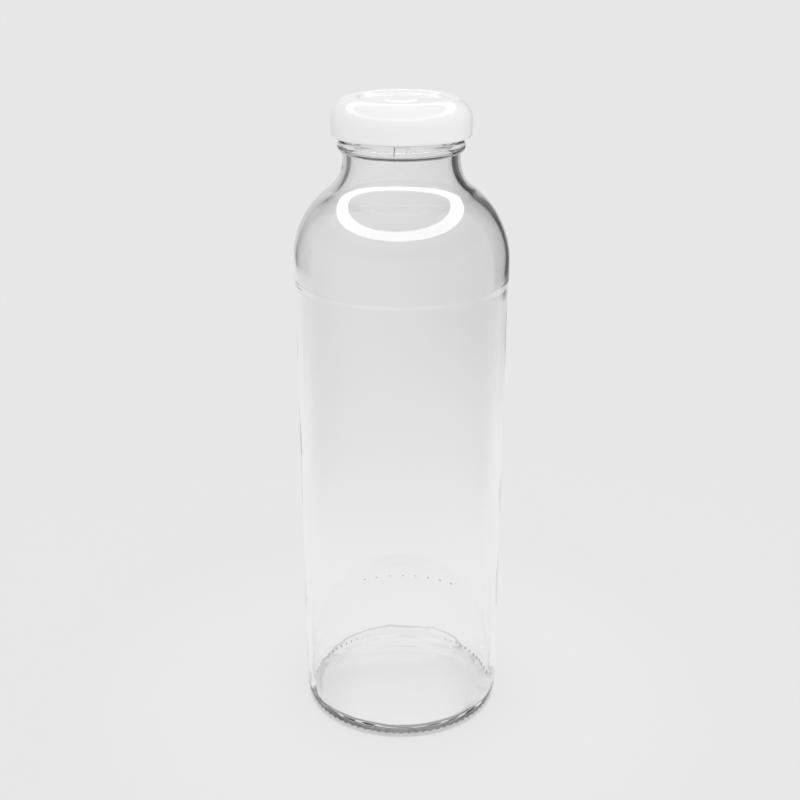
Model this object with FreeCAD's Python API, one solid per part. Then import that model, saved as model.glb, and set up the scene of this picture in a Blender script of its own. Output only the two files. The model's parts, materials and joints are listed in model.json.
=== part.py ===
import FreeCAD, Part
import math
import os

# A clear glass bottle for milk, closed by a white metal lug cap with a sealing ring in its channel.
# Millimetres and degrees, +Z up, origin at the centre of the foot.

# Glass, outside, from the foot upwards
foot_radius = 35.0          # wall just above the heel
heel_radius = 4.5           # rounding between the wall and the foot
bearing_width = 1.6         # flat ring that the bottle stands on
push_up = 2.4               # rise of the underside at its centre
panel_height = 157.7        # foot to the top of the label panel
panel_radius = 35.9         # label panel at its top, so that it tapers down to the foot
step_height = 3.0           # rise over which the panel steps out to the shoulder band
step_rounding = 4.0         # radius of the step's upper edge
band_height = 5.2           # straight band under the shoulder
shoulder_radius = 36.4
shoulder_height = 34.1      # from the straight band to the straight neck
neck_hollow = 12.3          # radius of the hollow curve under the neck
neck_radius = 19.35
neck_length = 4.3           # straight neck up to the middle of the transfer bead
bead_radius = 21.0
bead_rounding = 1.9
finish_height = 14.3        # middle of the bead to the sealing rim
rim_outer_rounding = 1.2
rim_inner_rounding = 0.6

# Glass, inside
body_wall = 1.5
neck_wall = 2.9
base_thickness = 2.6        # at the centre of the foot
floor_radius = 300.0        # shallow dome of the floor inside
inner_heel_radius = 2.0

# Lug threads on the finish, right-handed
thread_starts = 4
thread_lead = 13.0          # rise in one full turn
thread_depth = 1.5
thread_root_height = 1.7
thread_crest_height = 0.9
thread_behind_lug = 18.0    # angle that a thread reaches below its lug
thread_ahead_of_lug = 62.0  # angle that it reaches above it
thread_end_share = 0.2      # depth left at the two ends, where a thread runs out
thread_run_out = 6          # power of the run-out, higher for a shorter one
thread_sections = 8
thread_root_sink = 0.5      # how far a ridge is sunk into the neck wall

# Knurled heel, and a plain row of mould dots low on the back wall
knurl_count = 80
knurl_radius = 1.1
knurl_proud = 0.35
knurl_angle = 40.0          # place on the heel's rounding, down from the wall
dot_count = 8
dot_radius = 0.85
dot_proud = 0.3
dot_height = 27.5
dot_pitch = 8.5             # degrees round the wall
dot_middle = 85.0           # direction of the middle of the row

# Cap
sheet = 0.25
skirt_clearance = 2.1       # between the threads and the inside of the skirt
cap_height = 12.4
cap_corner = 7.0            # outside of the rounded edge
crest_width = 1.2           # flat top of the channel
cap_panel_depth = 1.0       # from the crest down to the panel
cap_panel_bend = 1.0
button_radius = 6.8
button_rise = 0.35
button_bend = 1.5
curl_radius = 0.8           # outside of the rolled edge
curl_turn = 270.0
lug_reach_gap = 0.8         # between a lug's tip and the neck
lug_height = 1.1
lug_width = 15.0            # degrees round the cap
lug_clearance = 0.45        # under the thread, at the middle of the lug

# Sealing ring
seal_thickness = 1.1
seal_inset = 0.2            # inner edge in from the start of the crest
seal_overhang = 0.55        # past the flat of the glass rim
seal_edge_gap = 0.12        # to the cap's rounded edge, at the outer side

# Heights and radii that follow from these
panel_top = panel_height
band_bottom = panel_top + step_height
shoulder_bottom = band_bottom + band_height
neck_bottom = shoulder_bottom + shoulder_height
bead_middle = neck_bottom + neck_length
rim = bead_middle + finish_height
bore_radius = neck_radius - neck_wall
inner_hollow = neck_hollow + neck_wall
bearing_outer = foot_radius - heel_radius
bearing_inner = bearing_outer - bearing_width
floor_top = push_up + base_thickness
thread_radius = neck_radius + thread_depth
cap_radius = thread_radius + skirt_clearance + sheet
cap_top = rim + seal_thickness + sheet
cap_bottom = cap_top - cap_height
crest_outer = cap_radius - cap_corner
crest_inner = crest_outer - crest_width
curl_middle = cap_bottom + curl_radius
lug_tip = neck_radius + lug_reach_gap
seal_inner = crest_inner + seal_inset
seal_outer = neck_radius - rim_outer_rounding + seal_overhang


def at(radius, height):
    return FreeCAD.Vector(radius, 0, height)


def line(start, end):
    return Part.LineSegment(start, end).toShape()


def arc(centre, start, end):
    """The shorter arc about a centre, between two points at the same distance from it."""
    middle = (start - centre) + (end - centre)
    middle.normalize()
    through = centre + middle * (start - centre).Length
    return Part.Arc(start, through, end).toShape()


def s_curve(low, high, high_radius):
    """Two arcs that leave a low and a high point upright and meet in one slope."""
    across = high.x - low.x
    rise = high.z - low.z
    radii = (across ** 2 + rise ** 2) / (2 * abs(across))
    low_radius = radii - high_radius
    side = math.copysign(1, across)
    low_centre = at(low.x + side * low_radius, low.z)
    high_centre = at(high.x - side * high_radius, high.z)
    meeting = low_centre + (high_centre - low_centre) * (low_radius / radii)
    return [arc(low_centre, low, meeting), arc(high_centre, meeting, high)]


def spin(edges):
    """The solid that a closed outline sweeps round the axis."""
    outline = Part.Face(Part.Wire(Part.__sortEdges__(edges)))
    return outline.revolve(FreeCAD.Vector(0, 0, 0), FreeCAD.Vector(0, 0, 1), 360)


def turned(shape, angle):
    copy = shape.copy()
    copy.rotate(FreeCAD.Vector(0, 0, 0), FreeCAD.Vector(0, 0, 1), angle)
    return copy


def glass_outside():
    centre_below = at(0, push_up)
    underside_radius = (bearing_inner ** 2 + push_up ** 2) / (2 * push_up)
    underside_centre = at(0, push_up - underside_radius)
    heel_top = at(foot_radius, heel_radius)
    panel_end = at(panel_radius, panel_top)
    band_start = at(shoulder_radius, band_bottom)
    band_end = at(shoulder_radius, shoulder_bottom)
    neck_start = at(neck_radius, neck_bottom)
    bead_half = math.sqrt(bead_rounding ** 2 - (neck_radius - bead_radius + bead_rounding) ** 2)
    bead_start = at(neck_radius, bead_middle - bead_half)
    bead_end = at(neck_radius, bead_middle + bead_half)
    rim_start = at(neck_radius, rim - rim_outer_rounding)
    rim_outer = at(neck_radius - rim_outer_rounding, rim)
    return [
        arc(underside_centre, centre_below, at(bearing_inner, 0)),
        line(at(bearing_inner, 0), at(bearing_outer, 0)),
        arc(at(bearing_outer, heel_radius), at(bearing_outer, 0), heel_top),
        line(heel_top, panel_end),
        *s_curve(panel_end, band_start, step_rounding),
        line(band_start, band_end),
        *s_curve(band_end, neck_start, neck_hollow),
        line(neck_start, bead_start),
        Part.Arc(bead_start, at(bead_radius, bead_middle), bead_end).toShape(),
        line(bead_end, rim_start),
        arc(at(rim_outer.x, rim_start.z), rim_start, rim_outer),
    ]


def glass_inside():
    rim_inner = at(bore_radius + rim_inner_rounding, rim)
    bore_top = at(bore_radius, rim - rim_inner_rounding)
    bore_bottom = at(bore_radius, neck_bottom)
    shoulder_end = at(shoulder_radius - body_wall, shoulder_bottom)
    band_end = at(shoulder_radius - body_wall, band_bottom)
    wall_top = at(panel_radius - body_wall, panel_top)
    wall_radius = foot_radius - body_wall
    dome_centre = at(0, floor_top - floor_radius)
    heel_from_axis = wall_radius - inner_heel_radius
    heel_above_dome = math.sqrt((floor_radius + inner_heel_radius) ** 2 - heel_from_axis ** 2)
    heel_centre = at(heel_from_axis, dome_centre.z + heel_above_dome)
    wall_foot = at(wall_radius, heel_centre.z)
    floor_share = floor_radius / (floor_radius + inner_heel_radius)
    floor_edge = dome_centre + (heel_centre - dome_centre) * floor_share
    floor_middle = at(0, floor_top)
    return [
        line(at(neck_radius - rim_outer_rounding, rim), rim_inner),
        arc(at(rim_inner.x, bore_top.z), rim_inner, bore_top),
        line(bore_top, bore_bottom),
        *s_curve(shoulder_end, bore_bottom, inner_hollow),
        line(shoulder_end, band_end),
        *s_curve(wall_top, band_end, step_rounding),
        line(wall_top, wall_foot),
        arc(heel_centre, wall_foot, floor_edge),
        arc(dome_centre, floor_edge, floor_middle),
        line(floor_middle, at(0, push_up)),
    ]


def thread_half_height(radius):
    """Half the height of a thread ridge at a radius between its root and its crest."""
    share = (radius - neck_radius) / thread_depth
    return (thread_root_height + (thread_crest_height - thread_root_height) * share) / 2


def thread_ridge():
    """One ridge, with the lug that it holds at angle 0, running out at both ends."""
    lug_top = curl_middle + lug_height / 2
    middle_at_lug = lug_top + lug_clearance + thread_half_height(lug_tip)
    sweep = thread_behind_lug + thread_ahead_of_lug
    root = neck_radius - thread_root_sink
    sections = []
    for step in range(thread_sections + 1):
        share = step / thread_sections
        angle = sweep * share - thread_behind_lug
        middle = middle_at_lug + thread_lead * angle / 360
        depth_share = 1 - (1 - thread_end_share) * abs(2 * share - 1) ** thread_run_out
        crest = neck_radius + thread_depth * depth_share
        corners = [
            at(root, middle - thread_root_height / 2),
            at(crest, middle - thread_crest_height / 2),
            at(crest, middle + thread_crest_height / 2),
            at(root, middle + thread_root_height / 2),
        ]
        sections.append(turned(Part.makePolygon(corners + corners[:1]), angle))
    return Part.makeLoft(sections, True, False)


def pip(surface_point, outward, radius, proud, pole):
    """A ball sunk into a surface, so that only a small dome stands proud, with its pole in a given direction."""
    return Part.makeSphere(radius, surface_point + outward * (proud - radius), pole)


def heel_knurls():
    fall = math.radians(knurl_angle)
    outward = at(math.cos(fall), -math.sin(fall))
    on_heel = at(bearing_outer, heel_radius) + outward * heel_radius
    knurl = pip(on_heel, outward, knurl_radius, knurl_proud, outward)
    return [turned(knurl, 360 * i / knurl_count) for i in range(knurl_count)]


def mould_dots():
    taper = (panel_radius - foot_radius) / (panel_top - heel_radius)
    wall = foot_radius + taper * (dot_height - heel_radius)
    dot = pip(at(wall, dot_height), at(1, 0), dot_radius, dot_proud, at(0, 1))
    first = dot_middle - dot_pitch * (dot_count - 1) / 2
    return [turned(dot, first + dot_pitch * i) for i in range(dot_count)]


def glass_bottle():
    body = spin(glass_outside() + glass_inside())
    threads = [turned(thread_ridge(), 360 * i / thread_starts) for i in range(thread_starts)]
    return body.fuse(threads + heel_knurls() + mould_dots())


def sheet_path(start, moves, offset):
    """The edges that a face of bent sheet follows, at a distance to the right of the given face.

    A move is a straight length and None, or a smallest bend radius and an angle, positive to the left."""
    edges = []
    heading = 0.0
    place = start - at(0, offset)
    for size, angle in moves:
        if angle is None:
            forward = at(math.cos(heading), math.sin(heading))
            end = place + forward * size
            edges.append(line(place, end))
        else:
            turn = math.radians(angle)
            side = math.copysign(1, turn)
            bend = size + (offset if side > 0 else sheet - offset)
            to_centre = at(-math.sin(heading), math.cos(heading)) * (side * bend)
            centre = place + to_centre
            stops = [heading + turn / 2, heading + turn]
            half, end = [centre - at(-math.sin(h), math.cos(h)) * (side * bend) for h in stops]
            edges.append(Part.Arc(place, half, end).toShape())
            heading += turn
        place = end
    return edges, place


def cap_moves():
    """The bends of the cap's outer face, from its centre out to the end of the rolled edge."""
    button_angle = math.degrees(math.acos(1 - button_rise / (2 * button_bend + sheet)))
    panel_angle = math.degrees(math.acos(1 - cap_panel_depth / (2 * cap_panel_bend + sheet)))
    button_run = (2 * button_bend + sheet) * math.sin(math.radians(button_angle))
    panel_run = (2 * cap_panel_bend + sheet) * math.sin(math.radians(panel_angle))
    button_flat = button_radius - button_run
    panel_flat = crest_inner - panel_run - button_radius
    skirt = cap_height - cap_corner - curl_radius
    return [
        (button_flat, None),
        (button_bend, -button_angle),
        (button_bend, button_angle),
        (panel_flat, None),
        (cap_panel_bend, panel_angle),
        (cap_panel_bend, -panel_angle),
        (crest_width, None),
        (cap_corner - sheet, -90),
        (skirt, None),
        (curl_radius - sheet, -curl_turn),
    ]


def cap_lug():
    """A piece of the rolled edge pressed inwards to catch under a thread, centred on angle 0."""
    half = lug_height / 2
    root = cap_radius - curl_radius
    low = at(lug_tip + half, curl_middle - half)
    high = at(lug_tip + half, curl_middle + half)
    edges = [
        line(at(root, low.z), low),
        Part.Arc(low, at(lug_tip, curl_middle), high).toShape(),
        line(high, at(root, high.z)),
        line(at(root, high.z), at(root, low.z)),
    ]
    section = Part.Face(Part.Wire(edges))
    lug = section.revolve(FreeCAD.Vector(0, 0, 0), FreeCAD.Vector(0, 0, 1), lug_width)
    return turned(lug, -lug_width / 2)


def cap_shell():
    start = at(0, cap_top - cap_panel_depth + button_rise)
    outer, outer_end = sheet_path(start, cap_moves(), 0)
    inner, inner_end = sheet_path(start, cap_moves(), sheet)
    closing = [line(outer_end, inner_end), line(start, start - at(0, sheet))]
    shell = spin(outer + inner + closing)
    lugs = [turned(cap_lug(), 360 * i / thread_starts) for i in range(thread_starts)]
    return shell.fuse(lugs)


def sealing_ring():
    channel_top = rim + seal_thickness
    corner_inside = cap_corner - sheet
    corner_drop = corner_inside - math.sqrt(corner_inside ** 2 - (seal_outer - crest_outer) ** 2)
    corners = [
        at(seal_inner, rim),
        at(seal_outer, rim),
        at(seal_outer, channel_top - corner_drop - seal_edge_gap),
        at(crest_outer, channel_top),
        at(seal_inner, channel_top),
    ]
    return spin(Part.makePolygon(corners + corners[:1]).Edges)


os.makedirs("parts", exist_ok=True)
for name, make in [("glass_bottle", glass_bottle), ("cap_shell", cap_shell), ("sealing_ring", sealing_ring)]:
    shape = make()
    print(name, "solids", len(shape.Solids), "valid", shape.isValid(), "volume", round(shape.Volume, 1))
    shape.exportStep("parts/" + name + ".step")
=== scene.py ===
import json
import math
from typing import NamedTuple

import bpy
import numpy as np
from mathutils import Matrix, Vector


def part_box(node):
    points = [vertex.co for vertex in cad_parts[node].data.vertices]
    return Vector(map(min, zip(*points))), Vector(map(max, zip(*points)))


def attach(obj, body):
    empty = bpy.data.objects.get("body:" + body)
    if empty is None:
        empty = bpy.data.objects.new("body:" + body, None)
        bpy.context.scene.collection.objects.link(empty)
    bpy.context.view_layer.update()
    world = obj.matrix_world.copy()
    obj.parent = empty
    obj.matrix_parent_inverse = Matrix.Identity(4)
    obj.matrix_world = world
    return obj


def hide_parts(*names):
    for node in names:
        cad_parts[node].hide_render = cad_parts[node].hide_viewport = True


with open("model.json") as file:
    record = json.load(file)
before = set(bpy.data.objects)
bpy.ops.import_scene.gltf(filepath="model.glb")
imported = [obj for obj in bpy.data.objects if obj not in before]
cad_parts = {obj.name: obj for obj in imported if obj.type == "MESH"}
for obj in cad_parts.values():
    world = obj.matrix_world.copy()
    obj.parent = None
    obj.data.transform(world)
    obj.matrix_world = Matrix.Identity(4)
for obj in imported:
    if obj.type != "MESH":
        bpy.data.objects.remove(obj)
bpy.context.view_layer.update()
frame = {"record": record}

# The looks of a clear glass bottle for milk and its white lug cap.
# Metres and degrees, +Z up, origin at the centre of the foot, -Y towards the camera.

MM = 0.001
glass_low, glass_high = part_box("glass_bottle")
cap_low, cap_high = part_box("cap_shell")
seal_low, seal_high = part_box("sealing_ring")
mouth = next(mount for mount in frame["record"]["mounts"] if mount["name"] == "mouth")

# Glass, outside, from the foot upwards
foot_radius = 35.0 * MM
heel_radius = 4.5 * MM
bearing_width = 1.6 * MM
push_up = 2.4 * MM
panel_top = 157.7 * MM
panel_radius = 35.9 * MM
step_height = 3.0 * MM
step_rounding = 4.0 * MM
band_height = 5.2 * MM
shoulder_radius = -glass_low.x
shoulder_height = 34.1 * MM
neck_hollow = 12.3 * MM
neck_radius = 19.35 * MM
neck_length = 4.3 * MM
bead_radius = 21.0 * MM
bead_rounding = 1.9 * MM
bead_crease = 0.18 * MM     # length of the short rows beside the creases of the bead
rim_outer_rounding = 1.2 * MM
rim_inner_rounding = 0.6 * MM
band_bottom = panel_top + step_height
shoulder_bottom = band_bottom + band_height
neck_bottom = shoulder_bottom + shoulder_height
bead_middle = neck_bottom + neck_length
rim = glass_high.z
bearing_outer = foot_radius - heel_radius
bearing_inner = bearing_outer - bearing_width

# Glass, inside
body_wall = 1.5 * MM
bore_radius = mouth["dims"]["r_mm"] * MM
inner_hollow = neck_hollow + neck_radius - bore_radius
base_thickness = 2.6 * MM
floor_radius = 300.0 * MM
inner_heel_radius = 2.0 * MM
floor_top = push_up + base_thickness
settled_height = 5 * inner_heel_radius      # of the wall that the base settled against
settled_fade = 4 * inner_heel_radius

# Lug threads on the finish
thread_starts = 4
thread_lead = 13.0 * MM
thread_depth = 1.5 * MM
thread_root_half = 0.85 * MM
thread_crest_half = 0.45 * MM
thread_middle = 209.99 * MM
thread_behind_lug = 18.0
thread_ahead_of_lug = 62.0
thread_run_out = 6

# Knurled heel, mould dots, mould seams and the unevenness of blown glass
knurl_count = 80
knurl_radius = 1.1 * MM
knurl_proud = 0.35 * MM
knurl_angle = 40.0
dot_count = 8
dot_radius = 0.85 * MM
dot_proud = 0.3 * MM
dot_margin = 1.2 * dot_radius
dot_height = 27.5 * MM
dot_pitch = 8.5
dot_middle = 85.0
seam_angles = (-96.4, 83.6)
seam_half_width = 0.22 * MM
finish_seam_proud = 0.26 * MM
neck_seam_proud = 0.04 * MM
body_seam_proud = 0.01 * MM
blister_angle = -83.8
blister_height = 205.5 * MM
blister_radius = 1.0 * MM
blister_proud = 0.45 * MM
inner_ripple = 0.02 * MM
inner_phase = 2.6
outer_ripple = 0.005 * MM
outer_phase = 0.7
floor_edge_ripple = 0.45 * MM
floor_edge_mean = 1.3

# Waves of the blown glass round and up the wall: share, lobes, rise of one wave, factor of the phase
ripple_waves = [
    (0.45, 2, 0.090, 1.0),
    (0.30, 5, -0.047, 2.1),
    (0.25, 9, 0.031, 3.7),
]

# Lobes of the line where the base settled: share, half lobes, phase
floor_edge_lobes = [
    (1.0, 2.5, 0.4),
    (0.7, 4.5, 1.3),
    (0.4, 7.5, 0.2),
]

# Cap
sheet = 0.25 * MM
cap_radius = cap_high.x
cap_top = cap_high.z
cap_bottom = cap_low.z
cap_corner = 7.0 * MM
crest_width = 1.2 * MM
cap_panel_depth = 1.0 * MM
cap_panel_bend = 1.0 * MM
button_radius = 6.8 * MM
button_rise = 0.35 * MM
button_bend = 1.5 * MM
curl_radius = 0.8 * MM
curl_turn = 270.0
lug_tip = 20.15 * MM
lug_width = 15.0
lug_blend = 4.0
crest_inner = cap_radius - cap_corner - crest_width

# Sealing ring
seal_inner = 15.2 * MM
seal_outer = seal_high.x
seal_edge_rounding = 0.3 * MM
seal_outer_drop = 0.75 * MM

# Fineness of the turned meshes, in degrees beside the seams and across the blister
glass_columns = 192
fine_share = 5
cap_columns = 256
seam_columns = (0, 0.35, 0.7, 1.1)
blister_pitch = 0.5
blister_columns = 5
closest_columns = 0.1
POLE = 1e-7                 # a row with a smaller radius is a single point


class Outline:
    """The rows of a turned surface in sweeping order, each a zone's name, a radius and a height."""

    def __init__(self, zone, radius, height):
        self.rows = [(zone, radius, height)]

    def line(self, zone, radius, height, steps):
        _, r, z = self.rows[-1]
        for i in range(1, steps + 1):
            share = i / steps
            self.rows.append((zone, r + (radius - r) * share, z + (height - z) * share))

    def arc(self, zone, centre, turn, steps):
        """An arc about a centre by an angle in radians, positive from +R towards +Z."""
        _, r, z = self.rows[-1]
        start = math.atan2(z - centre[1], r - centre[0])
        reach = math.hypot(r - centre[0], z - centre[1])
        for i in range(1, steps + 1):
            angle = start + turn * i / steps
            place = (centre[0] + reach * math.cos(angle), centre[1] + reach * math.sin(angle))
            self.rows.append((zone, *place))

    def arc_to(self, zone, centre, radius, height, steps):
        """The shorter arc about a centre, to a point at the same distance from it."""
        _, r, z = self.rows[-1]
        start = math.atan2(z - centre[1], r - centre[0])
        turn = math.atan2(height - centre[1], radius - centre[0]) - start
        turn = (turn + math.pi) % (2 * math.pi) - math.pi
        self.arc(zone, centre, turn, steps)

    def s_curve(self, zone, radius, height, upper_radius, steps):
        """Two arcs that leave both ends upright and meet in one slope."""
        _, r, z = self.rows[-1]
        low, high = sorted([(r, z), (radius, height)], key=lambda point: point[1])
        across = high[0] - low[0]
        radii = (across ** 2 + (high[1] - low[1]) ** 2) / (2 * abs(across))
        lower_radius = radii - upper_radius
        side = math.copysign(1, across)
        low_centre = (low[0] + side * lower_radius, low[1])
        high_centre = (high[0] - side * upper_radius, high[1])
        share = lower_radius / radii
        meeting = [a + (b - a) * share for a, b in zip(low_centre, high_centre)]
        first, second = (low_centre, high_centre) if height > z else (high_centre, low_centre)
        self.arc_to(zone, first, *meeting, steps)
        self.arc_to(zone, second, radius, height, steps)


def glass_outline():
    underside_radius = (bearing_inner ** 2 + push_up ** 2) / (2 * push_up)
    taper = (panel_radius - foot_radius) / (panel_top - heel_radius)
    dots_from = dot_height - dot_margin
    dots_to = dot_height + dot_margin
    bead_centre = (bead_radius - bead_rounding, bead_middle)
    bead_half = math.sqrt(bead_rounding ** 2 - (neck_radius - bead_centre[0]) ** 2)
    bead_turn = 2 * math.atan2(bead_half, neck_radius - bead_centre[0])
    crease_turn = bead_crease / bead_rounding

    def wall(height):
        return foot_radius + taper * (height - heel_radius)

    o = Outline("underside", 0, push_up)
    o.arc_to("underside", (0, push_up - underside_radius), bearing_inner, 0, steps=14)
    o.line("bearing", bearing_outer, 0, steps=3)
    o.arc_to("heel", (bearing_outer, heel_radius), foot_radius, heel_radius, steps=22)
    o.line("panel", wall(dots_from), dots_from, steps=5)
    o.line("dots", wall(dots_to), dots_to, steps=9)
    o.line("panel", panel_radius, panel_top, steps=24)
    o.s_curve("step", shoulder_radius, band_bottom, step_rounding, steps=6)
    o.line("shoulder", shoulder_radius, shoulder_bottom, steps=3)
    o.s_curve("shoulder", neck_radius, neck_bottom, neck_hollow, steps=20)
    o.line("neck", neck_radius, bead_middle - bead_half - bead_crease, steps=3)
    o.line("neck", neck_radius, bead_middle - bead_half, steps=1)
    o.arc("neck", bead_centre, crease_turn, steps=1)
    o.arc("neck", bead_centre, bead_turn - 2 * crease_turn, steps=12)
    o.arc("neck", bead_centre, crease_turn, steps=1)
    o.line("finish", neck_radius, rim - rim_outer_rounding, steps=48)
    outer_centre = (neck_radius - rim_outer_rounding, rim - rim_outer_rounding)
    o.arc_to("rim", outer_centre, neck_radius - rim_outer_rounding, rim, steps=7)
    o.line("rim", bore_radius + rim_inner_rounding, rim, steps=3)
    inner_centre = (bore_radius + rim_inner_rounding, rim - rim_inner_rounding)
    o.arc_to("rim", inner_centre, bore_radius, rim - rim_inner_rounding, steps=5)
    add_glass_inside(o)
    return o.rows


def add_glass_inside(o):
    wall_radius = foot_radius - body_wall
    heel_r = wall_radius - inner_heel_radius
    dome_z = floor_top - floor_radius
    heel_z = dome_z + math.sqrt((floor_radius + inner_heel_radius) ** 2 - heel_r ** 2)
    share = floor_radius / (floor_radius + inner_heel_radius)
    floor_edge = (heel_r * share, dome_z + (heel_z - dome_z) * share)
    o.line("bore", bore_radius, neck_bottom, steps=12)
    o.s_curve("inside", shoulder_radius - body_wall, shoulder_bottom, inner_hollow, steps=20)
    o.line("inside", shoulder_radius - body_wall, band_bottom, steps=3)
    o.s_curve("inside", panel_radius - body_wall, panel_top, step_rounding, steps=6)
    o.line("inside", wall_radius, heel_z + settled_height, steps=24)
    o.line("inner_heel", wall_radius, heel_z, steps=8)
    o.arc_to("inner_heel", (heel_r, heel_z), *floor_edge, steps=12)
    o.arc_to("floor", (0, dome_z), 0, floor_top, steps=18)


def wrapped(angle):
    return (angle + 180) % 360 - 180


def smooth(share):
    share = np.clip(share, 0, 1)
    return share * share * (3 - 2 * share)


def dome(distance, radius, proud):
    """Height of the small dome that a ball sunk into a surface leaves standing."""
    sunk = radius - proud
    return np.sqrt(np.clip(radius ** 2 - distance ** 2, sunk ** 2, None)) - sunk


def knurl_relief(angle, r, z):
    fall = math.atan2(heel_radius - z, r - bearing_outer)
    along = heel_radius * (fall - math.radians(knurl_angle))
    pitch = 360 / knurl_count
    across = r * np.radians((angle + pitch / 2) % pitch - pitch / 2)
    return dome(np.hypot(along, across), knurl_radius, knurl_proud)


def dot_relief(angle, r, z):
    first = dot_middle - dot_pitch * (dot_count - 1) / 2
    height = np.zeros_like(angle)
    for i in range(dot_count):
        across = r * np.radians(wrapped(angle - first - dot_pitch * i))
        height += dome(np.hypot(across, z - dot_height), dot_radius, dot_proud)
    return height


def thread_relief(angle, z):
    sweep = thread_behind_lug + thread_ahead_of_lug
    height = np.zeros_like(angle)
    for start in range(thread_starts):
        turn = wrapped(angle - 360 * start / thread_starts)
        along = 2 * (turn + thread_behind_lug) / sweep - 1
        run_out = np.clip(1 - np.abs(along) ** thread_run_out, 0, 1)
        off = np.abs(z - thread_middle - thread_lead * turn / 360)
        flank = smooth((thread_root_half - off) / (thread_root_half - thread_crest_half))
        height = np.maximum(height, thread_depth * run_out * flank)
    return height


def seam_relief(angle, r, proud):
    height = np.zeros_like(angle)
    for seam in seam_angles:
        off = r * np.radians(wrapped(angle - seam))
        height += proud * np.exp(-(off / seam_half_width) ** 2)
    return height


def blister_relief(angle, r, z):
    """A small blister in the glass, on the bead."""
    across = r * np.radians(wrapped(angle - blister_angle))
    return dome(np.hypot(across, z - blister_height), blister_radius, blister_proud)


def ripple(angle, z, phase):
    """Slow unevenness of blown glass, between about -1 and 1."""
    turn = np.radians(angle)
    up = 2 * math.pi * z
    height = np.zeros_like(turn)
    for share, lobes, rise, factor in ripple_waves:
        height += share * np.sin(lobes * turn + up / rise + factor * phase)
    return height


def floor_edge_relief(angle, z):
    """The irregular line where the thick base settled against the wall inside."""
    turn = np.radians(angle)
    height = np.full_like(turn, -floor_edge_mean)
    for share, half_lobes, phase in floor_edge_lobes:
        height += share * np.abs(np.sin(half_lobes * turn + phase))
    fade = smooth((floor_top + settled_height - z) / settled_fade)
    return floor_edge_ripple * height * fade


def glass_relief(zone, angle, r, z):
    if zone == "heel":
        return knurl_relief(angle, r, z)
    if zone == "dots":
        return dot_relief(angle, r, z)
    if zone == "finish":
        return thread_relief(angle, z) + seam_relief(angle, r, finish_seam_proud)
    if zone == "neck":
        seam = finish_seam_proud if z > bead_middle else neck_seam_proud
        return seam_relief(angle, r, seam) + blister_relief(angle, r, z)
    if zone in ("panel", "shoulder"):
        sunk = outer_ripple * (ripple(angle, z, outer_phase) - 1)
        return sunk + seam_relief(angle, r, body_seam_proud)
    if zone == "inside":
        return inner_ripple * ripple(angle, z, inner_phase)
    if zone == "inner_heel":
        return floor_edge_relief(angle, z)
    return np.zeros_like(angle)


def glass_angles():
    """Even columns, with a few more close to each mould seam and across the blister."""
    even = [360 * i / glass_columns for i in range(glass_columns)]
    extra = []
    for seam in seam_angles:
        extra += [(seam + side * off) % 360 for off in seam_columns for side in (1, -1)]
    for i in range(-blister_columns, blister_columns + 1):
        extra.append((blister_angle + blister_pitch * i) % 360)
    angles = sorted(set(np.round(even + extra, 3)))
    after = angles[1:] + [angles[0] + 360]
    return np.array([a for a, b in zip(angles, after) if b - a > closest_columns])


def finer(angles):
    """Each gap between columns, cut into equal shares."""
    gaps = np.diff(np.append(angles, angles[0] + 360))
    steps = np.arange(fine_share) / fine_share
    return (angles[:, None] + gaps[:, None] * steps).ravel()


def row_normals(rows):
    places = np.array([row[1:] for row in rows])
    along = np.gradient(places, axis=0)
    along /= np.linalg.norm(along, axis=1)[:, None]
    return np.column_stack([along[:, 1], -along[:, 0]])


def stitch(low, high):
    """Faces between two rings of vertex numbers, of which one may be finer or a single point."""
    if len(low) == 1:
        return [(low[0], high[(j + 1) % len(high)], high[j]) for j in range(len(high))]
    if len(high) == 1:
        return [(low[j], low[(j + 1) % len(low)], high[0]) for j in range(len(low))]
    count = min(len(low), len(high))
    a_share = len(low) // count
    b_share = len(high) // count
    faces = []
    for j in range(count):
        below = [low[(j * a_share + k) % len(low)] for k in range(a_share + 1)]
        above = [high[(j * b_share + k) % len(high)] for k in range(b_share + 1)]
        if a_share == b_share:
            faces.append((below[0], below[1], above[1], above[0]))
        elif b_share > a_share:
            half = b_share // 2
            faces += [(below[0], above[k + 1], above[k]) for k in range(half)]
            faces += [(below[1], above[k + 1], above[k]) for k in range(half, b_share)]
            faces.append((below[0], below[1], above[half]))
        else:
            half = a_share // 2
            faces += [(above[0], below[k], below[k + 1]) for k in range(half)]
            faces += [(above[1], below[k], below[k + 1]) for k in range(half, a_share)]
            faces.append((above[0], below[half], above[1]))
    return faces


def turned_mesh(name, rows, angles, relief=None, fine_zones=()):
    """A closed mesh swept round the axis. Gives the object and the zone of each face."""
    places = []
    rings = []
    normals = row_normals(rows)
    fine_angles = finer(angles)
    for (zone, r, z), normal in zip(rows, normals):
        first = sum(len(ring) for ring in rings)
        if r < POLE:
            places.append(np.array([[0, 0, z]]))
            rings.append([first])
            continue
        turn = fine_angles if zone in fine_zones else angles
        out = relief(zone, turn, r, z) if relief else np.zeros_like(turn)
        radius = r + normal[0] * out
        across = np.radians(turn)
        ring = [radius * np.cos(across), radius * np.sin(across), z + normal[1] * out]
        places.append(np.column_stack(ring))
        rings.append(list(range(first, first + len(turn))))
    faces = []
    zones = []
    closed = rows[0][1] >= POLE
    for i in range(len(rings) if closed else len(rings) - 1):
        after = (i + 1) % len(rings)
        made = stitch(rings[i], rings[after])
        faces += made
        zones += [rows[after][0]] * len(made)
    mesh = bpy.data.meshes.new(name)
    mesh.from_pydata(np.vstack(places).tolist(), [], faces)
    mesh.shade_smooth()
    mesh.update()
    piece = bpy.data.objects.new(name, mesh)
    bpy.context.scene.collection.objects.link(piece)
    return piece, zones


def even_angles(count):
    return np.arange(count) * 360 / count


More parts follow.
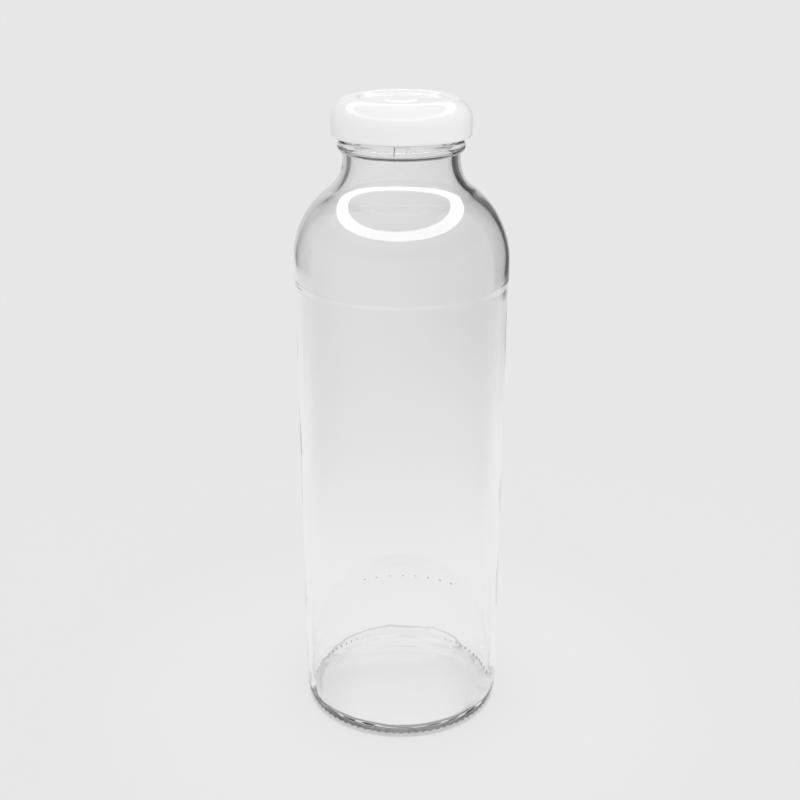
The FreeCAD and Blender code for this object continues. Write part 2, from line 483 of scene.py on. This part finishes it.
def cap_moves():
    """The bends of the cap's outer face, from its centre out to the end of the rolled edge."""
    button_angle = math.acos(1 - button_rise / (2 * button_bend + sheet))
    panel_angle = math.acos(1 - cap_panel_depth / (2 * cap_panel_bend + sheet))
    button_run = (2 * button_bend + sheet) * math.sin(button_angle)
    panel_run = (2 * cap_panel_bend + sheet) * math.sin(panel_angle)
    return [
        ("button", button_radius - button_run, None, 6),
        ("button", button_bend, -button_angle, 5),
        ("panel", button_bend, button_angle, 5),
        ("panel", crest_inner - panel_run - button_radius, None, 8),
        ("panel", cap_panel_bend, panel_angle, 6),
        ("crest", cap_panel_bend, -panel_angle, 6),
        ("crest", crest_width, None, 3),
        ("corner", cap_corner - sheet, -math.pi / 2, 20),
        ("skirt", cap_top - cap_bottom - cap_corner - curl_radius, None, 10),
        ("curl", curl_radius - sheet, -math.radians(curl_turn), 26),
    ]


def sheet_rows(offset):
    """The rows along one face of the cap's bent sheet, at a depth below its outer face."""
    heading = 0.0
    o = Outline("button", 0, cap_top - cap_panel_depth + button_rise - offset)
    for zone, size, turn, steps in cap_moves():
        _, r, z = o.rows[-1]
        if turn is None:
            o.line(zone, r + size * math.cos(heading), z + size * math.sin(heading), steps)
            continue
        side = math.copysign(1, turn)
        bend = size + (offset if side > 0 else sheet - offset)
        centre = (r - math.sin(heading) * side * bend, z + math.cos(heading) * side * bend)
        o.arc(zone, centre, turn, steps)
        heading += turn
    return o.rows


def cap_outline():
    """The outside from the centre to the rolled edge, then the inside back to the centre."""
    outside = sheet_rows(0)
    inside = [("inside_" + zone, r, z) for zone, r, z in sheet_rows(sheet)]
    return (outside + inside[::-1])[::-1]


def lug_relief(zone, angle, r, z):
    """The rolled edge is pressed inwards at the lugs."""
    height = np.zeros_like(angle)
    if zone != "curl":
        return height
    pitch = 360 / thread_starts
    turn = wrapped(angle + pitch / 2) % pitch - pitch / 2
    pressed = smooth((0.5 * lug_width + 0.5 * lug_blend - np.abs(turn)) / lug_blend)
    inner_half = smooth((cap_radius - curl_radius - r) / curl_radius)
    return (cap_radius - 2 * curl_radius - lug_tip) * pressed * inner_half


def seal_outline():
    top = seal_high.z
    bottom = seal_low.z
    edge = seal_edge_rounding
    slope_end = cap_radius - cap_corner
    o = Outline("seal", seal_inner, top - edge)
    o.line("seal", seal_inner, bottom + edge, steps=3)
    o.arc("seal", (seal_inner + edge, bottom + edge), math.pi / 2, steps=5)
    o.line("seal", seal_outer - edge, bottom, steps=8)
    o.arc("seal", (seal_outer - edge, bottom + edge), math.pi / 2, steps=5)
    o.line("seal", seal_outer, top - seal_outer_drop, steps=2)
    o.line("seal", slope_end, top, steps=6)
    o.line("seal", seal_inner + edge, top, steps=3)
    o.arc("seal", (seal_inner + edge, top - edge), math.pi / 2, steps=4)
    return o.rows[:-1]


# Shader nodes

def feed(tree, socket, value):
    if isinstance(value, bpy.types.NodeSocket):
        tree.links.new(value, socket)
    else:
        socket.default_value = value


def object_place(tree):
    return tree.nodes.new("ShaderNodeTexCoord").outputs["Object"]


def light_path(tree):
    return tree.nodes.new("ShaderNodeLightPath").outputs


def grey(level):
    return (level, level, level, 1.0)


def maths(tree, operation, a, b=0.0):
    node = tree.nodes.new("ShaderNodeMath")
    node.operation = operation
    feed(tree, node.inputs[0], a)
    feed(tree, node.inputs[1], b)
    return node.outputs[0]


def product(tree, first, *others):
    for other in others:
        first = maths(tree, "MULTIPLY", first, other)
    return first


def vector_maths(tree, operation, a, b=None):
    node = tree.nodes.new("ShaderNodeVectorMath")
    node.operation = operation
    tree.links.new(a, node.inputs[0])
    if b is not None:
        node.inputs[1].default_value = b
    return node.outputs


def remap(tree, value, low, high, to_low=0.0, to_high=1.0):
    """A soft step from one level to another, between two values."""
    node = tree.nodes.new("ShaderNodeMapRange")
    node.interpolation_type = "SMOOTHSTEP"
    feed(tree, node.inputs["Value"], value)
    node.inputs["From Min"].default_value = low
    node.inputs["From Max"].default_value = high
    node.inputs["To Min"].default_value = to_low
    node.inputs["To Max"].default_value = to_high
    return node.outputs["Result"]


def mix(tree, share, low, high, kind):
    node = tree.nodes.new("ShaderNodeMix")
    node.data_type = kind
    feed(tree, node.inputs["Factor"], share)
    feed(tree, node.inputs["A"], low)
    feed(tree, node.inputs["B"], high)
    return node.outputs["Result"]


def mix_value(tree, share, low, high):
    return mix(tree, share, low, high, "FLOAT")


def mix_colour(tree, share, low, high):
    return mix(tree, share, low, high, "RGBA")


def noise(tree, place, size, detail=3.0, roughness=0.5):
    """Cloudy noise whose blots are about a given size across."""
    node = tree.nodes.new("ShaderNodeTexNoise")
    tree.links.new(place, node.inputs["Vector"])
    node.inputs["Scale"].default_value = 1 / size
    node.inputs["Detail"].default_value = detail
    node.inputs["Roughness"].default_value = roughness
    return node.outputs["Fac"]


def bump(tree, height, depth):
    node = tree.nodes.new("ShaderNodeBump")
    node.inputs["Distance"].default_value = depth
    tree.links.new(height, node.inputs["Height"])
    return node.outputs["Normal"]


def axis_parts(tree, vector):
    node = tree.nodes.new("ShaderNodeSeparateXYZ")
    tree.links.new(vector, node.inputs[0])
    return node.outputs


def level_direction(tree, vector):
    """The level part of a vector, as a unit vector and a length."""
    flat = vector_maths(tree, "MULTIPLY", vector, (1, 1, 0))[0]
    return vector_maths(tree, "NORMALIZE", flat)[0], vector_maths(tree, "LENGTH", flat)["Value"]


def new_material(name):
    material = bpy.data.materials.new(name)
    material.use_nodes = True
    return material, material.node_tree, material.node_tree.nodes["Principled BSDF"]


def bare_material(name):
    """A material for the stage, without a shader yet."""
    material = bpy.data.materials.new(name)
    material.use_nodes = True
    material.node_tree.nodes.clear()
    return material, material.node_tree


def show(tree, shader):
    out = tree.nodes.new("ShaderNodeOutputMaterial")
    tree.links.new(shader.outputs[0], out.inputs["Surface"])


# Looks of the glass
glass_ior = 1.52
tint_low = (0.988, 0.991, 0.990, 1)
tint_high = (0.997, 0.998, 0.998, 1)
tint_size = 60 * MM
neck_shade_from = 50 * MM
neck_shade_to = 200 * MM
neck_painted_shade = 0.028           # share of painted shade that greys the glass towards the neck
finish_painted_shade = 0.04          # and a further share of painted shade above the bead
handling_size = 22 * MM
handling_roughness = 0.03
wave_size = 9 * MM
wave_depth = 0.006 * MM

# Painted shade: the dark line that the mould seam's edge draws, painted into the glass's colour over
# the seam's real ridge
seam_line_half = 0.2 * MM
seam_shade_level = 0.08
seam_line_blend = 0.4 * MM
seam_front_blend = 1 * MM
seam_line_from = bore_radius + 1 * MM
seam_line_to = neck_radius - 0.5 * MM

# Painted shade: the dark line inside, where the base settled, painted into the glass's colour over the
# real ridge there: its height rises towards the back, and it fades in front
crease_low = 3.5 * MM
crease_high = 6.0 * MM
crease_rise_from = 0.45 * foot_radius
crease_half = 0.7 * MM
crease_wander = 0.5 * MM
crease_wander_size = 9 * MM
crease_shade_level = 0.54
crease_front = -0.4 * foot_radius
crease_back = -0.1 * foot_radius
crease_inner_edge = (-5 * MM, -3 * MM)
crease_outer_edge = (0.2 * MM, 0.6 * MM)


# Materials

def seam_shade_mask(tree, place):
    """Where painted shade draws the mould seam's sharp edge, from the bead upwards on the front."""
    _, radius = level_direction(tree, place)
    parts = axis_parts(tree, place)
    turn = math.radians(seam_angles[0])
    from_x = product(tree, parts["X"], math.sin(turn))
    from_y = product(tree, parts["Y"], math.cos(turn))
    across = maths(tree, "ABSOLUTE", maths(tree, "SUBTRACT", from_x, from_y))
    low = bead_middle - seam_line_blend
    high = bead_middle + seam_line_blend
    return product(
        tree,
        remap(tree, across, 0.5 * seam_line_half, seam_line_half, 1.0, 0.0),
        remap(tree, parts["Z"], low, high),
        remap(tree, parts["Y"], -seam_front_blend, 0.0, 1.0, 0.0),
        remap(tree, radius, seam_line_from, seam_line_to),
    )


def crease_shade_mask(tree, place):
    """Where painted shade draws the thin irregular line inside, where the base settled against the
    wall.
    """
    _, radius = level_direction(tree, place)
    parts = axis_parts(tree, place)
    height = remap(tree, parts["Y"], crease_rise_from, foot_radius, crease_low, crease_high)
    blots = noise(tree, place, crease_wander_size, detail=2.0)
    wander = remap(tree, blots, low=0.3, high=0.7, to_low=-crease_wander, to_high=crease_wander)
    off = maths(tree, "SUBTRACT", parts["Z"], maths(tree, "ADD", height, wander))
    inner_edge = [foot_radius - body_wall + step for step in crease_inner_edge]
    outer_edge = [foot_radius - body_wall + step for step in crease_outer_edge]
    return product(
        tree,
        remap(tree, maths(tree, "ABSOLUTE", off), 0.0, crease_half, 1.0, 0.0),
        remap(tree, radius, *outer_edge, 1.0, 0.0),
        remap(tree, radius, *inner_edge),
        remap(tree, parts["Y"], crease_front, crease_back),
    )


def glass_material():
    """Clear glass, with painted shade that greys it a little towards the neck and draws dark lines at
    the seam and the crease; with faint waves and traces of handling.
    """
    material, tree, shader = new_material("clear_glass")
    place = object_place(tree)
    height = axis_parts(tree, place)["Z"]
    black = grey(0.0)
    # Painted shade: the colour greys a little towards the neck and above the bead
    towards_neck = remap(tree, height, neck_shade_from, neck_shade_to, 0.0, neck_painted_shade)
    above_bead = remap(tree, height, bead_middle, bead_middle + bead_rounding, 0.0, finish_painted_shade)
    tint_and_shade = mix_colour(tree, noise(tree, place, tint_size), tint_low, tint_high)
    tint_and_shade = mix_colour(tree, towards_neck, tint_and_shade, black)
    tint_and_shade = mix_colour(tree, above_bead, tint_and_shade, black)
    # Painted shade: a dark line along the seam's edge, on the front
    tint_and_shade = mix_colour(tree, seam_shade_mask(tree, place), tint_and_shade, grey(seam_shade_level))
    # Painted shade: a dark line where the base settled, over the real ridge inside
    tint_and_shade = mix_colour(tree, crease_shade_mask(tree, place), tint_and_shade, grey(crease_shade_level))
    handling = noise(tree, place, handling_size, detail=5.0, roughness=0.6)
    waves = noise(tree, place, wave_size, detail=2.0)
    feed(tree, shader.inputs["Base Color"], tint_and_shade)
    smears = remap(tree, handling, low=0.5, high=0.75, to_low=0.0, to_high=handling_roughness)
    feed(tree, shader.inputs["Roughness"], smears)
    feed(tree, shader.inputs["Normal"], bump(tree, waves, wave_depth))
    shader.inputs["IOR"].default_value = glass_ior
    shader.inputs["Transmission Weight"].default_value = 1.0
    return material


def lacquer_material(name, light, dark, smoothest, dullest, shine, coat):
    """Sprayed lacquer on tinplate: a little cloudy, with a fine peel and duller patches."""
    material, tree, shader = new_material(name)
    place = object_place(tree)
    cloud = noise(tree, place, 14 * MM, detail=4.0)
    rubbed = noise(tree, place, 5 * MM, detail=6.0, roughness=0.65)
    peel = noise(tree, place, 1.6 * MM, detail=2.0)
    feed(tree, shader.inputs["Base Color"], mix_colour(tree, cloud, dark, light))
    gloss = remap(tree, rubbed, low=0.45, high=0.7, to_low=smoothest, to_high=dullest)
    feed(tree, shader.inputs["Roughness"], gloss)
    feed(tree, shader.inputs["Normal"], bump(tree, peel, depth=0.004 * MM))
    shader.inputs["Specular IOR Level"].default_value = shine
    shader.inputs["Coat Weight"].default_value = coat
    shader.inputs["Coat Roughness"].default_value = 0.04
    return material


def outside_lacquer():
    return lacquer_material(
        "white_lacquer", light=grey(0.87), dark=grey(0.84),
        smoothest=0.10, dullest=0.24, shine=0.09, coat=0.07,
    )


def inside_lacquer():
    return lacquer_material(
        "inside_lacquer", light=(0.80, 0.80, 0.77, 1), dark=(0.72, 0.72, 0.69, 1),
        smoothest=0.25, dullest=0.4, shine=0.5, coat=0.0,
    )


def seal_material():
    """Flowed compound, mottled and satin."""
    material, tree, shader = new_material("plastisol")
    place = object_place(tree)
    dark = (0.74, 0.74, 0.70, 1)
    light = (0.84, 0.84, 0.81, 1)
    mottle = noise(tree, place, 3 * MM, detail=4.0)
    grain = noise(tree, place, 0.8 * MM, detail=3.0)
    feed(tree, shader.inputs["Base Color"], mix_colour(tree, mottle, dark, light))
    satin = remap(tree, mottle, low=0.3, high=0.7, to_low=0.38, to_high=0.55)
    feed(tree, shader.inputs["Roughness"], satin)
    feed(tree, shader.inputs["Normal"], bump(tree, grain, depth=0.015 * MM))
    return material


# Pieces

def make_bottle():
    fine_zones = ("heel", "dots")
    piece, _ = turned_mesh("bottle_glass", glass_outline(), glass_angles(), glass_relief, fine_zones)
    piece.data.materials.append(glass_material())
    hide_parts("glass_bottle")
    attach(piece, "bottle")


def make_cap():
    piece, zones = turned_mesh("cap_lid", cap_outline(), even_angles(cap_columns), lug_relief)
    piece.data.materials.append(outside_lacquer())
    piece.data.materials.append(inside_lacquer())
    for face, zone in zip(piece.data.polygons, zones):
        face.material_index = int(zone.startswith("inside_"))
    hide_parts("cap_shell")
    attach(piece, "cap")


def make_seal():
    piece, _ = turned_mesh("seal_ring", seal_outline(), even_angles(cap_columns))
    piece.data.materials.append(seal_material())
    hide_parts("sealing_ring")
    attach(piece, "seal")


# Studio

pale = 0.80                 # level of the floor and the backdrop

# Floor: a faint shadow close by, a painted contact shadow where the foot stands, and its glow seen
# beside and through the glass, with painted light and shade near and under the foot
floor_drop = 0.05 * MM
floor_half = 6.0
shadow_share = 0.2
shadow_near = 0.06
shadow_far = 0.30
contact_shade = 0.27
contact_from = 0.0335
contact_to = 0.0350
near_glow = 1.06
near_glow_from = 0.05
near_glow_to = 0.14
through_glow = 1.055
under_glow = 1.13
heel_shade = 0.60
heel_front = -0.8 * foot_radius
heel_back = -0.3 * foot_radius
side_shade = 0.12
side_from = 0.014
side_to = 0.031

# Sky: pale low down, and between two heights of the ray it changes to the level higher up
sky_for_diffuse = 1.0
sky_in_reflections = 0.75
sky_through_glass = 0.10
sky_from = 0.27
sky_to = 0.42
above_horizon = 0.10
darkest = 0.80
both_walls = 4              # surfaces of glass that light passes on its way through the bottle

# Ring light
ring_columns = 128
ring_height = 0.36
ring_outer = 0.227
ring_inner = 0.154
ring_middle = (-0.011, -0.004)
ring_strength = 6.4
ring_through_glass = 0.4

# Camera
camera_place = (-0.00048, -0.44045, 0.28327)
camera_tilt = 69.12
camera_lens = 60.75
camera_sensor = 36.0
camera_near = 0.01


class DarkPart(NamedTuple):
    """A darker part of the room, by its direction round the bottle in degrees, 0 at the back.

    The floor grows dark between the near and the far distance.
    """

    bearing: float
    half: float
    soft: float
    depth: float
    near: float = 0.0
    far: float = 0.0


# These give the glass its edges. Only the dim sides also show straight through both walls.
dark_behind = [
    DarkPart(bearing=44.0, half=19.0, soft=7.0, depth=0.68, near=0.53, far=0.60),
    DarkPart(bearing=30.0, half=20.0, soft=20.0, depth=0.08, near=0.20, far=0.45),
    DarkPart(bearing=-50.0, half=10.0, soft=14.0, depth=0.55, near=0.55, far=0.72),
    DarkPart(bearing=-28.0, half=10.0, soft=12.0, depth=0.20, near=0.60, far=0.95),
]
dim_sides = [
    DarkPart(bearing=40.0, half=24.0, soft=22.0, depth=0.11, near=0.25, far=0.50),
    DarkPart(bearing=-42.0, half=20.0, soft=20.0, depth=0.05, near=0.25, far=0.50),
]
dark_above = [DarkPart(bearing=32.0, half=18.0, soft=5.0, depth=0.66)]
dark_in_front = [DarkPart(bearing=180.0, half=90.0, soft=40.0, depth=0.72, near=0.12, far=0.30)]


def darkness(tree, dark_parts, direction, distance=None):
    """How much darker the room is in a level direction, from 0 to 1."""
    total = 0.0
    for part in dark_parts:
        turn = math.radians(part.bearing)
        towards = (math.sin(turn), math.cos(turn), 0)
        nearness = vector_maths(tree, "DOT_PRODUCT", direction, towards)["Value"]
        edge = math.cos(math.radians(part.half + part.soft))
        full = math.cos(math.radians(part.half))
        share = remap(tree, nearness, edge, full, 0.0, part.depth)
        if distance is not None:
            share = product(tree, share, remap(tree, distance, part.near, part.far))
        total = maths(tree, "ADD", share, total)
    return total


def not_straight_through(tree, path):
    """0 for light that came straight through both walls, 1 for the rest, as at the edges."""
    off = maths(tree, "ABSOLUTE", maths(tree, "SUBTRACT", path["Transmission Depth"], both_walls))
    half_a_surface = 0.5
    return maths(tree, "GREATER_THAN", off, half_a_surface)


def in_or_through_glass(tree, path):
    return maths(tree, "MAXIMUM", path["Is Glossy Ray"], path["Is Transmission Ray"])


def room_on_floor(tree, path, direction, distance):
    """The share of light that the dark parts of the room leave to the floor."""
    behind = darkness(tree, dark_behind, direction, distance)
    in_front = darkness(tree, dark_in_front, direction, distance)
    in_front = product(tree, in_front, path["Is Glossy Ray"])
    dark = maths(tree, "ADD", behind, in_front)
    dark = product(tree, dark, not_straight_through(tree, path))
    dark = maths(tree, "ADD", dark, darkness(tree, dim_sides, direction, distance))
    return maths(tree, "SUBTRACT", 1.0, dark)


def glow_through_glass(tree, parts, distance):
    """The floor's glow through the glass: brightest under the base, shaded at the heel and sides."""
    under = remap(tree, distance, bearing_inner, foot_radius, under_glow, through_glow)
    front = product(
        tree,
        remap(tree, parts["Y"], heel_front, heel_back, heel_shade, 0.0),
        remap(tree, distance, bearing_inner, bearing_outer),
        remap(tree, distance, foot_radius, foot_radius + heel_radius, 1.0, 0.0),
    )
    sides = product(
        tree,
        remap(tree, maths(tree, "ABSOLUTE", parts["X"]), side_from, side_to, 0.0, side_shade),
        remap(tree, distance, bearing_outer, foot_radius, 1.0, 0.0),
    )
    return maths(tree, "SUBTRACT", maths(tree, "SUBTRACT", under, sides), front)


def glow_seen(tree, distance):
    """The floor's glow as the camera sees it, painted brighter near the foot, with a painted contact
    shadow where the foot stands.
    """
    near = remap(tree, distance, near_glow_from, near_glow_to, near_glow, 1.0)
    contact = remap(tree, distance, contact_from, contact_to, 1.0 - contact_shade, 1.0)
    return product(tree, near, contact)


def floor_material():
    """Pale paper that takes a faint shadow, and glows at one level where it is seen."""
    material, tree = bare_material("floor")
    material.cycles.emission_sampling = "NONE"
    path = light_path(tree)
    place = object_place(tree)
    direction, distance = level_direction(tree, place)
    room = room_on_floor(tree, path, direction, distance)
    through = product(tree, room, glow_through_glass(tree, axis_parts(tree, place), distance))
    share = mix_value(tree, path["Is Camera Ray"], through, glow_seen(tree, distance))
    glow = tree.nodes.new("ShaderNodeEmission")
    glow.inputs["Color"].default_value = grey(1.0)
    tree.links.new(product(tree, share, pale), glow.inputs["Strength"])
    paper = tree.nodes.new("ShaderNodeBsdfDiffuse")
    paper.inputs["Color"].default_value = grey(pale)
    unshaded = remap(tree, distance, shadow_near, shadow_far, 1 - shadow_share, 1.0)
    seen = product(tree, path["Is Camera Ray"], unshaded)
    glowing = maths(tree, "MAXIMUM", in_or_through_glass(tree, path), seen)
    both = tree.nodes.new("ShaderNodeMixShader")
    tree.links.new(glowing, both.inputs["Fac"])
    tree.links.new(paper.outputs[0], both.inputs[1])
    tree.links.new(glow.outputs[0], both.inputs[2])
    show(tree, both)
    return material


def stage_mesh(name, places, faces, material):
    mesh = bpy.data.meshes.new(name)
    mesh.from_pydata(places, [], faces)
    mesh.materials.append(material)
    thing = bpy.data.objects.new(name, mesh)
    bpy.context.scene.collection.objects.link(thing)
    return thing


def make_floor():
    signs = [(-1, -1), (1, -1), (1, 1), (-1, 1)]
    corners = [(x * floor_half, y * floor_half, -floor_drop) for x, y in signs]
    floor = stage_mesh("floor", corners, [(0, 1, 2, 3)], floor_material())


def make_world():
    """The room around: pale where it is seen, with the dark parts in and through the glass."""
    world = bpy.data.worlds.new("studio")
    bpy.context.scene.world = world
    world.use_nodes = True
    tree = world.node_tree
    path = light_path(tree)
    ray = tree.nodes.new("ShaderNodeTexCoord").outputs["Generated"]
    direction, _ = level_direction(tree, ray)
    height = axis_parts(tree, ray)["Z"]
    sky = remap(tree, path["Is Transmission Ray"], 0.0, 1.0, sky_in_reflections, sky_through_glass)
    level = mix_colour(tree, remap(tree, height, sky_from, sky_to), grey(pale), sky)
    higher = darkness(tree, dark_above, direction)
    higher = product(tree, higher, remap(tree, height, 0.0, above_horizon))
    behind = maths(tree, "ADD", darkness(tree, dark_behind, direction), higher)
    in_front = product(tree, darkness(tree, dark_in_front, direction), path["Is Glossy Ray"])
    dark = maths(tree, "MINIMUM", maths(tree, "ADD", behind, in_front), darkest)
    dark = product(tree, dark, not_straight_through(tree, path))
    dark = maths(tree, "ADD", dark, darkness(tree, dim_sides, direction))
    room = product(tree, maths(tree, "SUBTRACT", 1.0, dark), level)
    lit = mix_colour(tree, in_or_through_glass(tree, path), grey(sky_for_diffuse), room)
    shown = mix_colour(tree, path["Is Camera Ray"], lit, grey(pale))
    tree.links.new(shown, tree.nodes["Background"].inputs["Color"])


def ring_light_material():
    material, tree = bare_material("ring_light")
    glow = tree.nodes.new("ShaderNodeEmission")
    through = light_path(tree)["Is Transmission Ray"]
    strength = remap(tree, through, 0.0, 1.0, ring_strength, ring_through_glass)
    tree.links.new(strength, glow.inputs["Strength"])
    show(tree, glow)
    return material


def make_ring_light():
    """A flat ring of light overhead, which shows as the white ring on the shoulder."""
    places = []
    for radius in (ring_inner, ring_outer):
        for turn in np.radians(even_angles(ring_columns)):
            x = ring_middle[0] + radius * math.cos(turn)
            y = ring_middle[1] + radius * math.sin(turn)
            places.append((x, y, ring_height))
    faces = []
    for i in range(ring_columns):
        after = (i + 1) % ring_columns
        faces.append((i, after, ring_columns + after, ring_columns + i))
    ring = stage_mesh("ring_light", places, faces, ring_light_material())
    ring.visible_camera = False
    ring.visible_diffuse = False
    ring.visible_shadow = False


def make_soft_light(name, place, aim, size, power):
    lamp = bpy.data.lights.new(name, "AREA")
    lamp.shape = "DISK"
    lamp.size = size
    lamp.energy = power
    light = bpy.data.objects.new(name, lamp)
    light.location = place
    away = Vector(aim) - Vector(place)
    light.rotation_euler = away.to_track_quat("-Z", "Y").to_euler()
    light.visible_glossy = False
    light.visible_transmission = False
    light.visible_camera = False
    bpy.context.scene.collection.objects.link(light)


def make_camera():
    data = bpy.data.cameras.new("camera")
    data.sensor_width = camera_sensor
    data.lens = camera_lens
    data.clip_start = camera_near
    camera = bpy.data.objects.new("camera", data)
    camera.location = camera_place
    camera.rotation_euler = (math.radians(camera_tilt), 0, 0)
    bpy.context.scene.collection.objects.link(camera)
    bpy.context.scene.camera = camera


make_bottle()
make_cap()
make_seal()
make_floor()
make_world()
make_ring_light()
make_soft_light("top_light", place=(0.0, 0.1, 0.8), aim=(0, 0, 0.2), size=0.7, power=0.3)
make_soft_light("front_light", place=(0.35, -0.7, 0.55), aim=(0, 0, 0.15), size=0.6, power=0.6)
make_camera()

scene = bpy.context.scene
scene.view_settings.view_transform = "Standard"

# Light passes and turns many times inside the glass
scene.cycles.max_bounces = 24
scene.cycles.glossy_bounces = 16
scene.cycles.transmission_bounces = 24
